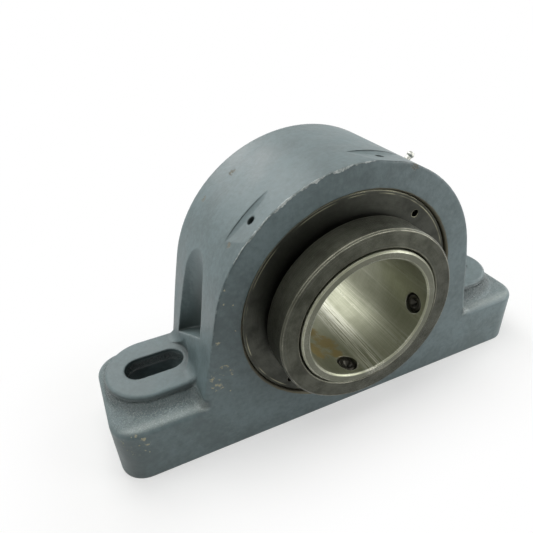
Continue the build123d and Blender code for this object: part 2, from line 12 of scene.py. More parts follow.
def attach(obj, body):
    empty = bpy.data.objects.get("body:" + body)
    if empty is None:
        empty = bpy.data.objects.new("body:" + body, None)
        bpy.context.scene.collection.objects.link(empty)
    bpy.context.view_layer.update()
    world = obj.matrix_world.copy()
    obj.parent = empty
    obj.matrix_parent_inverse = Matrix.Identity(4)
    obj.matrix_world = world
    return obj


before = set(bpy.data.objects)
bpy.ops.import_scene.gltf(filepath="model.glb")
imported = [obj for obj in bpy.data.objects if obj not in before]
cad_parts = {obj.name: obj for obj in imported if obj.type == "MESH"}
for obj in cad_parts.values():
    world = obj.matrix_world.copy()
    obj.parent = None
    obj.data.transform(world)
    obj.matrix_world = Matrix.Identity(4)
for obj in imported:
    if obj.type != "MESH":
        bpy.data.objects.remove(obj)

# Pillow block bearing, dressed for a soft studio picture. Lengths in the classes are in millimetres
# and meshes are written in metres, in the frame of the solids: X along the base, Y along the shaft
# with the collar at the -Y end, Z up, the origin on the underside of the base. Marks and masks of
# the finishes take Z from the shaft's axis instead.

log = logging.getLogger("pillow_block")
MM = 0.001
AXIS_Z = 107.95                 # height of the shaft
FRONT_Y = -55.6                 # front face of the casting
FLAT_REAR_Y = -32.8             # rear end of the flats round the lock screws
ARCH_R = 110.9
SIDE_FLARE = 12.0               # degrees, of the arch's sides


class Mark(Enum):
    """What a spot on a finish is."""

    CHIP = "chip"               # knocked off, down to the primer
    SCRAPE = "scrape"           # parts of a rim, left by a glancing knock
    RUST = "rust"
    RUB_AND_HIGHLIGHT = "rub"                 # lines along the shaft, laid bright where the bore's highlight falls: rub marks and a painted highlight


# Shared helpers

def linear(code: str) -> tuple[float, float, float, float]:
    """Turn an sRGB hex colour into linear values.

    Args:
        code: colour such as "#6b787c".

    Returns:
        Red, green, blue and an alpha of 1.
    """
    channels = [int(code[i:i + 2], 16) / 255 for i in (1, 3, 5)]
    curve = [c / 12.92 if c <= 0.04045 else ((c + 0.055) / 1.055) ** 2.4 for c in channels]
    return curve[0], curve[1], curve[2], 1.0


def add_node(tree: bpy.types.NodeTree, kind: str, inputs: dict[Any, Any] | None = None,
             **settings: Any) -> bpy.types.Node:
    """Add a node, set its properties, and set or link its inputs.

    Args:
        tree: node tree that takes the node.
        kind: bl_idname of the node.
        inputs: socket name or number, with a plain value, an output socket to link, or a node
            whose first output in use is linked.
        settings: properties of the node.

    Returns:
        The node.
    """
    node = tree.nodes.new(kind)
    for name, value in settings.items():
        setattr(node, name, value)
    for key, value in (inputs or {}).items():
        if isinstance(value, bpy.types.Node):
            value = next(socket for socket in value.outputs if socket.enabled)
        if isinstance(value, bpy.types.NodeSocket):
            tree.links.new(value, node.inputs[key])
        else:
            node.inputs[key].default_value = value
    return node


def mask(tree: bpy.types.NodeTree, *fades: tuple) -> bpy.types.Node:
    """Multiply smooth fades into one mask.

    Args:
        tree: node tree of the material.
        fades: for each, the value that it follows and the two levels between which it changes,
            then the shares that it gives at those levels unless they are 0 and 1.

    Returns:
        The node that gives the product.
    """
    product = None
    for value, low, high, *shares in fades:
        start, end = shares or (0.0, 1.0)
        fade = add_node(tree, "ShaderNodeMapRange", {0: value, 1: low, 2: high, 3: start, 4: end},
                        interpolation_type="SMOOTHSTEP")
        if product:
            fade = add_node(tree, "ShaderNodeMath", {0: product, 1: fade}, operation="MULTIPLY")
        product = fade
    return product


def layered(tree: bpy.types.NodeTree, tone: bpy.types.Node, *layers: tuple[Any, str]) -> bpy.types.Node:
    """Lay colours over a tone, one after the other.

    Args:
        tree: node tree of the material.
        tone: node that gives the colour below.
        layers: mask and sRGB hex colour of each layer.

    Returns:
        The node that gives the colour on top.
    """
    for share, colour in layers:
        tone = add_node(tree, "ShaderNodeMix", {0: share, 6: tone, 7: linear(colour)}, data_type="RGBA")
    return tone


def surface(name: str, points: np.ndarray) -> bpy.types.Object:
    """Make a mesh object from a grid of points.

    The grid's first index runs along the piece and the second across it, and quads join each
    point to its neighbours.

    Args:
        name: name of the piece.
        points: array of shape (along, across, 3), in millimetres.

    Returns:
        The new object, at the origin.
    """
    along, across = points.shape[:2]
    index = np.arange(along * across).reshape(along, across)
    right, left = index[:, 1:], index[:, :-1]
    quads = np.stack([left[:-1], right[:-1], right[1:], left[1:]], axis=-1).reshape(-1, 4)
    mesh = bpy.data.meshes.new(name)
    mesh.from_pydata((points.reshape(-1, 3) * MM).tolist(), [], quads.tolist())
    mesh.polygons.foreach_set("use_smooth", np.ones(len(quads), dtype=bool))
    mesh.update()
    piece = bpy.data.objects.new(name, mesh)
    bpy.context.scene.collection.objects.link(piece)
    return piece


def ripple(along: np.ndarray, seed: int, longest: float, shortest: float, terms: int = 14) -> np.ndarray:
    """Irregular curve between -1 and 1.

    A sum of cosines whose wavelengths run evenly, on a log scale, from the longest to the
    shortest, each with a seeded phase and an amplitude that shrinks with its wavelength.

    Args:
        along: positions in millimetres.
        seed: seed of the phases.
        longest: longest wavelength in millimetres.
        shortest: shortest wavelength in millimetres.
        terms: number of cosines.

    Returns:
        One value for each position.
    """
    phases = np.random.default_rng(seed).uniform(0, 2 * np.pi, terms)
    waves = np.geomspace(longest, shortest, terms)
    sizes = waves ** 0.6
    total = (sizes * np.cos(2 * np.pi * along[..., None] / waves + phases)).sum(-1)
    return np.clip(total / sizes.sum() * 2.2, -1, 1)


# Finishes

@dataclass(frozen=True)
class Spot:
    """A mark: its middle from the shaft's axis and its half-width, in millimetres, and what it is."""

    x: float
    y: float
    z: float
    size: float
    kind: Mark


@dataclass(frozen=True)
class Finish:
    """Common part of every finish: one Principled shader fed by patterns in millimetres."""

    name: str
    gloss: float = field(default=0.5, kw_only=True)
    marks: tuple[Spot, ...] = field(default=(), kw_only=True)

    def place(self, tree: bpy.types.NodeTree) -> bpy.types.Node:
        """Position on the piece in millimetres, measured from the shaft's axis."""
        coord = add_node(tree, "ShaderNodeTexCoord")
        return add_node(tree, "ShaderNodeMapping", {"Vector": coord.outputs["Object"],
                                                    "Location": (0, 0, -AXIS_Z), "Scale": (1 / MM,) * 3})

    def radius(self, tree: bpy.types.NodeTree, place: bpy.types.Node) -> bpy.types.Node:
        """Distance from the shaft's axis in millimetres."""
        flat = add_node(tree, "ShaderNodeVectorMath", {0: place, 1: (1, 0, 1)}, operation="MULTIPLY")
        return add_node(tree, "ShaderNodeVectorMath", {0: flat}, operation="LENGTH")

    def spots(self, kind: Mark) -> list[Spot]:
        """Marks of one kind."""
        return [spot for spot in self.marks if spot.kind is kind]

    def patterns(self, tree: bpy.types.NodeTree, shader: bpy.types.Node) -> None:
        """Fill the shader of this finish."""
        raise NotImplementedError

    def material(self) -> bpy.types.Material:
        """Make the material, or return it if it is there.

        Returns:
            The material, named for what it is.
        """
        made = bpy.data.materials.get(self.name)
        if made:
            return made
        made = bpy.data.materials.new(self.name)
        made.use_nodes = True
        tree = made.node_tree
        shader = tree.nodes["Principled BSDF"]
        shader.inputs["Specular IOR Level"].default_value = self.gloss
        self.patterns(tree, shader)
        return made


@dataclass(frozen=True)
class CastingEnamel(Finish):
    """Slate alkyd enamel sprayed on sand-cast iron.

    The eye sees a soft grey-blue with a low sheen, cloudy in tone, over the grain and the slow
    waves of the sand mould, with pale edges where the paint has thinned, tan chips and bare metal at
    the turned mouth. The pockets, coves and corners carry painted shade, and the foot's shelf a
    painted highlight.
    """

    deep: str = "#4f5d5e"
    pale: str = "#657476"
    # Dusting on up-facing surfaces, partly a painted lightening of the tops that the lamps light.
    dust_and_top_light: str = "#7e8b8a"
    # Colour of edges where the paint has thinned, and of the painted highlight on the foot's shelf.
    wear_and_highlight: str = "#a3aca8"
    primer: str = "#a5a188"
    rust: str = "#85755c"
    bare: str = "#625f4f"
    shade_colour: str = "#3a4443"      # colour of the painted shade in the pockets, coves, corners and at the left end
    roughness: float = 0.42
    cloud_mm: float = 38.0      # patches of tone
    wave_mm: float = 13.0       # waves of the mould
    peel_mm: float = 3.6        # orange peel of the sprayed paint
    grain_mm: float = 1.5       # sand grain, drawn a little coarse so that it shows
    grit_mm: float = 0.8        # grain of the painted highlight on the shelf
    edge_mm: float = 2.6        # rounding of the casting's edges, in the shading alone
    crease_mm: float = 20.0     # reach of the painted shade in the corners
    mouth_r: float = 92.6       # turned mouth, with no paint inside it
    mouth_rear_y: float = 38.0
    pocket_y: float = -6.0      # middle of the cored pockets, along the shaft
    pocket_half: float = 27.0
    pocket_x: float = 95.0      # where they start, from the middle
    pocket_top_z: float = 52.0
    shelf_x: float = 120.0      # where the foot's rough shelf starts, from the middle
    shelf_z: float = -60.0      # height of the shelf's edge
    shelf_highlight_y: float = -43.0     # towards the front from here the shelf is lightened: a painted highlight along its front edge
    pad_z: float = -50.0        # height of the pad's upper edge
    cove_z: float = -57.8       # height of the cove's lower edge, at the foot of the pad
    left_end_shade_x: float = -166.0    # where the painted shade of the left end starts

    def spot_mask(self, tree: bpy.types.NodeTree, place: bpy.types.Node, kind: Mark, rough: bpy.types.Node,
                  gate: bpy.types.Node | None = None) -> Any:
        """Mask that is 1 inside a ragged edge round each mark of a kind.

        Args:
            tree: node tree of the material.
            place: position in millimetres.
            kind: kind of mark.
            rough: noise that breaks the edges.
            gate: noise that leaves only parts of each spot's rim; the whole spot is marked
                without it.

        Returns:
            The mask's node, or 0 where the finish has no such mark.
        """
        total: Any = 0.0
        for mark in self.spots(kind):
            away = add_node(tree, "ShaderNodeVectorMath", {0: place, 1: (mark.x, mark.y, mark.z)},
                            operation="DISTANCE")
            share = add_node(tree, "ShaderNodeMath", {0: away, 1: mark.size}, operation="DIVIDE")
            if gate:
                rim = add_node(tree, "ShaderNodeMath", {0: share, 1: 1.0}, operation="SUBTRACT")
                rim = add_node(tree, "ShaderNodeMath", {0: rim}, operation="ABSOLUTE")
                hidden = mask(tree, (gate, 0.6, 0.51, 0.2, 3.0))
                share = add_node(tree, "ShaderNodeMath", {0: rim, 1: 4.0, 2: hidden},
                                 operation="MULTIPLY_ADD")
            ragged = add_node(tree, "ShaderNodeMath", {0: rough, 1: 4.5, 2: share}, operation="MULTIPLY_ADD")
            inside = mask(tree, (ragged, 2.75, 3.1, 1.0, 0.0))
            total = add_node(tree, "ShaderNodeMath", {0: inside, 1: total}, operation="MAXIMUM")
        return total

    def pocket_shade(self, tree: bpy.types.NodeTree, spread: bpy.types.Node,
                     outward: bpy.types.Node) -> bpy.types.Node:
        """Mask that grows with the depth below the flared side, inside the cored pockets.

        Args:
            tree: node tree of the material.
            spread: node that holds the position's X, Y and Z.
            outward: distance from the middle of the base.

        Returns:
            The mask.
        """
        flare = math.radians(SIDE_FLARE)
        height = spread.outputs["Z"]
        reach = add_node(tree, "ShaderNodeMath", {0: outward, 1: math.cos(flare)}, operation="MULTIPLY")
        reach = add_node(tree, "ShaderNodeMath", {0: height, 1: math.sin(flare), 2: reach},
                         operation="MULTIPLY_ADD")
        offset = add_node(tree, "ShaderNodeMath", {0: spread.outputs["Y"], 1: self.pocket_y},
                          operation="SUBTRACT")
        offset = add_node(tree, "ShaderNodeMath", {0: offset}, operation="ABSOLUTE")
        return mask(tree, (reach, ARCH_R - 2, ARCH_R - 14), (offset, self.pocket_half, self.pocket_half - 3),
                    (outward, self.pocket_x, self.pocket_x + 3),
                    (height, self.pocket_top_z, self.pocket_top_z - 22))

    def lay_painted_shade(self, tree: bpy.types.NodeTree, tone: bpy.types.Node, spread: bpy.types.Node,
             outward: bpy.types.Node) -> bpy.types.Node:
        """Paint shade into the pockets, the cove at the foot of each pad, the left end and the corners.

        Args:
            tree: node tree of the material.
            tone: node that gives the paint's colour.
            spread: node that holds the position's X, Y and Z.
            outward: distance from the middle of the base.

        Returns:
            The node that gives the colour with its painted shade.
        """
        height = spread.outputs["Z"]
        # Painted shade in the cove under each pad.
        cove = mask(tree, (height, self.cove_z, self.cove_z + 2.3),
                    (height, self.pad_z + 1.2, self.pad_z - 0.5, 0.0, 0.6),
                    (outward, self.shelf_x - 2, self.shelf_x + 2))
        # Painted shade, darker towards the left end of the foot.
        left_end_shade = mask(tree, (spread.outputs["X"], self.left_end_shade_x, self.left_end_shade_x - 26, 0.0, 0.62),
                      (height, self.shelf_z, self.shelf_z - 8))
        # Painted shade in the corners, from ambient occlusion.
        hollow = add_node(tree, "ShaderNodeAmbientOcclusion", {"Distance": self.crease_mm * MM}, samples=6,
                          only_local=True)
        creases = mask(tree, (hollow.outputs["AO"], 0.97, 0.52, 0.0, 0.95))
        return layered(tree, tone, (self.pocket_shade(tree, spread, outward), self.shade_colour), (cove, self.shade_colour),
                       (left_end_shade, self.shade_colour), (creases, self.shade_colour))

    def patterns(self, tree: bpy.types.NodeTree, shader: bpy.types.Node) -> None:
        """Cloudy enamel over sand grain, with chips, rust, pale edges, the bare mouth, painted shade and a
        painted highlight.
        """
        place = self.place(tree)
        spread = add_node(tree, "ShaderNodeSeparateXYZ", {0: place})
        across, height = spread.outputs["Y"], spread.outputs["Z"]
        outward = add_node(tree, "ShaderNodeMath", {0: spread.outputs["X"]}, operation="ABSOLUTE")
        cloud, wave, grain, peel, grit = (
            add_node(tree, "ShaderNodeTexNoise", {"Vector": place, "Scale": 1 / size, "Detail": detail,
                                                  "Roughness": roughness})
            for size, detail, roughness in ((self.cloud_mm, 5.0, 0.62), (self.wave_mm, 2.0, 0.5),
                                            (self.grain_mm, 3.0, 0.6), (self.peel_mm, 3.0, 0.55),
                                            (self.grit_mm, 2.0, 0.5)))
        normal = add_node(tree, "ShaderNodeNewGeometry").outputs["Normal"]
        upward = add_node(tree, "ShaderNodeSeparateXYZ", {0: normal}).outputs["Z"]
        soft = add_node(tree, "ShaderNodeBevel", {"Radius": self.edge_mm * MM}, samples=8)
        facing = add_node(tree, "ShaderNodeVectorMath", {0: soft, 1: normal}, operation="DOT_PRODUCT")

        # Marks, and the mouth where the paint ends
        chip = add_node(tree, "ShaderNodeMath", {0: self.spot_mask(tree, place, Mark.CHIP, grain),
                                                 1: self.spot_mask(tree, place, Mark.SCRAPE, grain, peel)},
                        operation="MAXIMUM")
        rusty = self.spot_mask(tree, place, Mark.RUST, grain)
        faint = add_node(tree, "ShaderNodeMath", {0: rusty, 1: 0.42}, operation="MULTIPLY")
        broken = add_node(tree, "ShaderNodeMath", {0: chip, 1: rusty}, operation="MAXIMUM")
        lip = add_node(tree, "ShaderNodeMath", {0: wave, 1: 1.6, 2: self.radius(tree, place)},
                       operation="MULTIPLY_ADD")
        bare = mask(tree, (lip, self.mouth_r, self.mouth_r - 0.7),
                    (across, self.mouth_rear_y, self.mouth_rear_y - 2))

        # The foot's upper shelf was never dressed after casting, so its grain stands higher there
        off_pad = mask(tree, (outward, self.shelf_x, self.shelf_x + 6),
                       (height, self.shelf_z, self.shelf_z + 3), (height, self.pad_z, self.pad_z - 2.5))
        # Towards its front edge and on the high points of its grain the shelf is lightened: a painted
        # highlight.
        front = mask(tree, (across, self.shelf_highlight_y, self.shelf_highlight_y - 7, 0.0, 0.6))
        bright = mask(tree, (grit, 0.48, 0.7, 0.0, 0.7))
        rub_and_highlight = add_node(tree, "ShaderNodeMath", {0: front, 1: bright}, operation="ADD")
        shelf_highlight = add_node(tree, "ShaderNodeMath", {0: off_pad, 1: rub_and_highlight}, operation="MULTIPLY")

        mottle = add_node(tree, "ShaderNodeMath", {0: peel, 1: 0.45, 2: cloud}, operation="MULTIPLY_ADD")
        tone = add_node(tree, "ShaderNodeMix", {0: mask(tree, (mottle, 0.5, 0.95)), 6: linear(self.deep),
                                                7: linear(self.pale)}, data_type="RGBA")
        # Up-facing surfaces lighter: dusting, and partly a painted lightening of the lit tops.
        dust_and_top_share = mask(tree, (upward, 0.1, 0.95, 0.0, 0.2), (wave, 0.2, 0.7, 0.6, 1.0))
        edge = mask(tree, (facing, 0.93, 0.80), (peel, 0.46, 0.66, 0.0, 0.4))
        tone = layered(tree, tone, (dust_and_top_share, self.dust_and_top_light), (edge, self.wear_and_highlight), (chip, self.primer),
                       (faint, self.rust), (bare, self.bare), (shelf_highlight, self.wear_and_highlight))
        # Painted shade in the pockets, coves, corners and at the left end.
        tone = self.lay_painted_shade(tree, tone, spread, outward)

        sheen = mask(tree, (cloud, 0.3, 0.7, self.roughness - 0.07, self.roughness + 0.09))
        sheen = add_node(tree, "ShaderNodeMath", {0: broken, 1: 0.35, 2: sheen}, operation="MULTIPLY_ADD")
        sheen = add_node(tree, "ShaderNodeMath", {0: off_pad, 1: -0.14, 2: sheen}, operation="MULTIPLY_ADD")
        metal = add_node(tree, "ShaderNodeMath", {0: bare, 1: 0.5}, operation="MULTIPLY")
        grain_high = add_node(tree, "ShaderNodeMath", {0: off_pad, 1: 1.4, 2: 0.08}, operation="MULTIPLY_ADD")
        relief = add_node(tree, "ShaderNodeMath", {0: grain, 1: grain_high}, operation="MULTIPLY")
        for pattern, depth in ((wave, 0.36), (peel, 0.16), (broken, -0.18)):
            relief = add_node(tree, "ShaderNodeMath", {0: pattern, 1: depth, 2: relief},
                              operation="MULTIPLY_ADD")
        bump = add_node(tree, "ShaderNodeBump", {"Height": relief, "Strength": 1.0, "Distance": MM,
                                                 "Normal": soft})
        tree.links.new(tone.outputs[2], shader.inputs["Base Color"])
        tree.links.new(sheen.outputs[0], shader.inputs["Roughness"])
        tree.links.new(metal.outputs[0], shader.inputs["Metallic"])
        tree.links.new(bump.outputs[0], shader.inputs["Normal"])


@dataclass(frozen=True)
class TurnedSteel(Finish):
    """Lathe-turned or ground steel.

    The eye sees fine rings from the tool, a reflection drawn out across them, faint cloudy
    stains, and edges that are brighter where the dark oil film has come off. Some bright lines
    and rings are painted highlights, and end faces can carry painted shade.
    """

    steel: str = "#8f8d87"
    stain: str = "#6d6a63"
    # Colour of edges where the oil film has come off, and of lines and rings painted bright as highlights.
    wear_and_highlight: str = "#c9c4b8"
    rust: str = "#8d7a45"
    roughness: float = 0.30
    metallic: float = 1.0
    ring_mm: float = 0.9        # spacing of the tool marks, drawn coarse so that they show
    ring_depth: float = 0.012
    cloud_mm: float = 16.0      # patches of stain
    fleck_mm: float = 7.0       # ragged borders of the rust
    line_mm: float = 0.9        # spacing of the fine lines along the shaft
    band_mm: float = 21.0       # how wide apart the lines gather
    draw_out: float = 60.0      # how many times longer than wide the lines are
    streak_share: float = 0.0   # strength of those lines
    stain_share: float = 1.0
    end_shade: float = 0.0      # how much darker the end faces are painted: a painted shade
    scored_and_highlight_radii: tuple[float, ...] = ()    # bright turned lines on the face, laid where an edge catches the light: partly a painted highlight
    edge_mm: float = 0.9        # width of the rubbed edges
    edge_share: float = 0.8
    turned: float = 0.0         # how far the tool marks draw out a reflection across themselves

    def rust_mask(self, tree: bpy.types.NodeTree, place: bpy.types.Node) -> Any:
        """Mask of the ragged rust spots, or 0 where there are none."""
        rusty: Any = 0.0
        fleck = add_node(tree, "ShaderNodeTexNoise", {"Vector": place, "Scale": 1 / self.fleck_mm,
                                                      "Detail": 6.0, "Roughness": 0.75})
        for mark in self.spots(Mark.RUST):
            away = add_node(tree, "ShaderNodeVectorMath", {0: place, 1: (mark.x, mark.y, mark.z)},
                            operation="DISTANCE")
            share = add_node(tree, "ShaderNodeMath", {0: away, 1: 1 / mark.size}, operation="MULTIPLY")
            ragged = add_node(tree, "ShaderNodeMath", {0: fleck, 1: 2.2, 2: share}, operation="MULTIPLY_ADD")
            inside = mask(tree, (ragged, 1.5, 2.1, 0.85, 0.0))
            rusty = add_node(tree, "ShaderNodeMath", {0: inside, 1: rusty}, operation="MAXIMUM")
        return rusty

    def rub_and_highlight(self, tree: bpy.types.NodeTree, drawn: bpy.types.Node, lines: bpy.types.Node,
               streak: bpy.types.Node) -> bpy.types.Node:
        """Streaks, with bright lines laid where the bore's highlight falls: rub marks and a painted
        highlight.

        Args:
            tree: node tree of the material.
            drawn: position in millimetres, shortened along the shaft.
            lines: noise of the fine lines.
            streak: mask of the plain streaks.

        Returns:
            The mask with the bright lines added.
        """
        for mark in self.spots(Mark.RUB_AND_HIGHLIGHT):
            middle = (mark.x, mark.y / self.draw_out, mark.z)
            away = add_node(tree, "ShaderNodeVectorMath", {0: drawn, 1: middle}, operation="DISTANCE")
            bright = mask(tree, (away, mark.size, 0.3 * mark.size), (lines, 0.42, 0.56))
            streak = add_node(tree, "ShaderNodeMath", {0: streak, 1: bright}, operation="MAXIMUM")
        return streak

    def patterns(self, tree: bpy.types.NodeTree, shader: bpy.types.Node) -> None:
        """Rings round the shaft's axis, stains, bright edges, rust, painted highlights and painted shade."""
        place = self.place(tree)
        radius = self.radius(tree, place)
        along = add_node(tree, "ShaderNodeSeparateXYZ", {0: place}).outputs["Y"]
        lane = add_node(tree, "ShaderNodeMath", {0: along, 1: 0.83, 2: radius}, operation="MULTIPLY_ADD")
        rings = add_node(tree, "ShaderNodeTexNoise", {"W": lane, "Scale": 1 / self.ring_mm, "Detail": 3.0,
                                                      "Roughness": 0.7}, noise_dimensions="1D")
        cloud = add_node(tree, "ShaderNodeTexNoise", {"Vector": place, "Scale": 1 / self.cloud_mm,
                                                      "Detail": 5.0, "Roughness": 0.65})
        drawn = add_node(tree, "ShaderNodeMapping", {"Vector": place, "Scale": (1.0, 1 / self.draw_out, 1.0)})
        lines = add_node(tree, "ShaderNodeTexNoise", {"Vector": drawn, "Scale": 1 / self.line_mm,
                                                      "Detail": 4.0, "Roughness": 0.7})
        bands = add_node(tree, "ShaderNodeTexNoise", {"Vector": drawn, "Scale": 1 / self.band_mm,
                                                      "Detail": 1.0})
        normal = add_node(tree, "ShaderNodeNewGeometry").outputs["Normal"]
        across = add_node(tree, "ShaderNodeSeparateXYZ", {0: normal}).outputs["Y"]
        end_face = add_node(tree, "ShaderNodeMath", {0: across}, operation="ABSOLUTE")
        soft = add_node(tree, "ShaderNodeBevel", {"Radius": self.edge_mm * MM}, samples=4)
        facing = add_node(tree, "ShaderNodeVectorMath", {0: soft, 1: normal}, operation="DOT_PRODUCT")
        streak = mask(tree, (lines, 0.42, 0.66, 0.0, self.streak_share), (bands, 0.42, 0.6, 0.15, 1.0))
        rusty = self.rust_mask(tree, place)

        stained = mask(tree, (cloud, 0.35, 0.7, 0.0, self.stain_share))
        tone = add_node(tree, "ShaderNodeMix", {0: stained, 6: linear(self.steel), 7: linear(self.stain)},
                        data_type="RGBA")
        tone = layered(tree, tone, (mask(tree, (rings, 0.35, 0.7, 0.0, 0.35)), self.stain),
                       # Bright lines along the shaft: streaks, with rub marks and a painted highlight in the
                       # bore.
                       (self.rub_and_highlight(tree, drawn, lines, streak), self.wear_and_highlight),
                       # End faces darkened towards black: a painted shade.
                       (mask(tree, (end_face, 0.9, 0.98, 0.0, self.end_shade)), "#000000"),
                       (mask(tree, (facing, 0.985, 0.9, 0.0, self.edge_share), (bands, 0.4, 0.58, 0.35, 1.0)),
                        self.wear_and_highlight))
        # Bright rings on the face, laid where an edge catches the light: partly a painted highlight.
        for line in self.scored_and_highlight_radii:
            off = add_node(tree, "ShaderNodeMath", {0: radius, 1: line}, operation="SUBTRACT")
            off = add_node(tree, "ShaderNodeMath", {0: off}, operation="ABSOLUTE")
            bright = mask(tree, (off, 0.45, 0.2, 0.0, 0.6), (bands, 0.42, 0.58))
            tone = layered(tree, tone, (bright, self.wear_and_highlight))
        tone = layered(tree, tone, (rusty, self.rust))

        sheen = mask(tree, (cloud, 0.3, 0.7, self.roughness - 0.05 * self.stain_share,
                            self.roughness + 0.08 * self.stain_share))
        for pattern, change in ((streak, -0.1), (rusty, 0.25)):
            sheen = add_node(tree, "ShaderNodeMath", {0: pattern, 1: change, 2: sheen},
                             operation="MULTIPLY_ADD")
        bump = add_node(tree, "ShaderNodeBump", {"Height": rings, "Strength": 1.0,
                                                 "Distance": self.ring_depth * MM, "Normal": soft})
        tree.links.new(tone.outputs[2], shader.inputs["Base Color"])
        tree.links.new(sheen.outputs[0], shader.inputs["Roughness"])
        tree.links.new(bump.outputs[0], shader.inputs["Normal"])
        shader.inputs["Metallic"].default_value = self.metallic
        if self.spots(Mark.RUST):
            metal = add_node(tree, "ShaderNodeMath", {0: rusty, 1: -0.3, 2: self.metallic},
                             operation="MULTIPLY_ADD", use_clamp=True)
            tree.links.new(metal.outputs[0], shader.inputs["Metallic"])
        if self.turned:
            shader.inputs["Anisotropic"].default_value = self.turned
            shader.inputs["Anisotropic Rotation"].default_value = 0.25
            tangent = add_node(tree, "ShaderNodeTangent", direction_type="RADIAL", axis="Y")
            tree.links.new(tangent.outputs[0], shader.inputs["Tangent"])


@dataclass(frozen=True)
class MouldedSoft(Finish):
    """Moulded nitrile rubber or nylon: even colour, a fine matt grain and a slow sheen."""

    colour: str = "#1b1b1b"
    shade: str = "#262624"
    roughness: float = 0.6
    bloom_mm: float = 9.0
    grain_mm: float = 0.5       # grain of the mould, drawn coarse so that it shows
    grain_depth: float = 0.03

    def patterns(self, tree: bpy.types.NodeTree, shader: bpy.types.Node) -> None:
        """Fine grain of the mould and faint blooming."""
        place = self.place(tree)
        bloom, grain = (
            add_node(tree, "ShaderNodeTexNoise", {"Vector": place, "Scale": 1 / size, "Detail": detail})
            for size, detail in ((self.bloom_mm, 4.0), (self.grain_mm, 2.0)))
        tone = add_node(tree, "ShaderNodeMix", {0: mask(tree, (bloom, 0.35, 0.7)), 6: linear(self.colour),
                                                7: linear(self.shade)}, data_type="RGBA")
        sheen = mask(tree, (bloom, 0.3, 0.7, self.roughness - 0.08, self.roughness + 0.1))
        bump = add_node(tree, "ShaderNodeBump", {"Height": grain, "Strength": 1.0,
                                                 "Distance": self.grain_depth * MM})
        tree.links.new(tone.outputs[2], shader.inputs["Base Color"])
        tree.links.new(sheen.outputs[0], shader.inputs["Roughness"])
        tree.links.new(bump.outputs[0], shader.inputs["Normal"])


# Sub-assemblies

def dress(node: str, finish: Finish) -> None:
    """Give a solid its finish.

    Args:
        node: name of the solid.
        finish: its finish.
    """
    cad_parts[node].material_slots[0].material = finish.material()
    log.info("dressed %s with %s", node, finish.name)


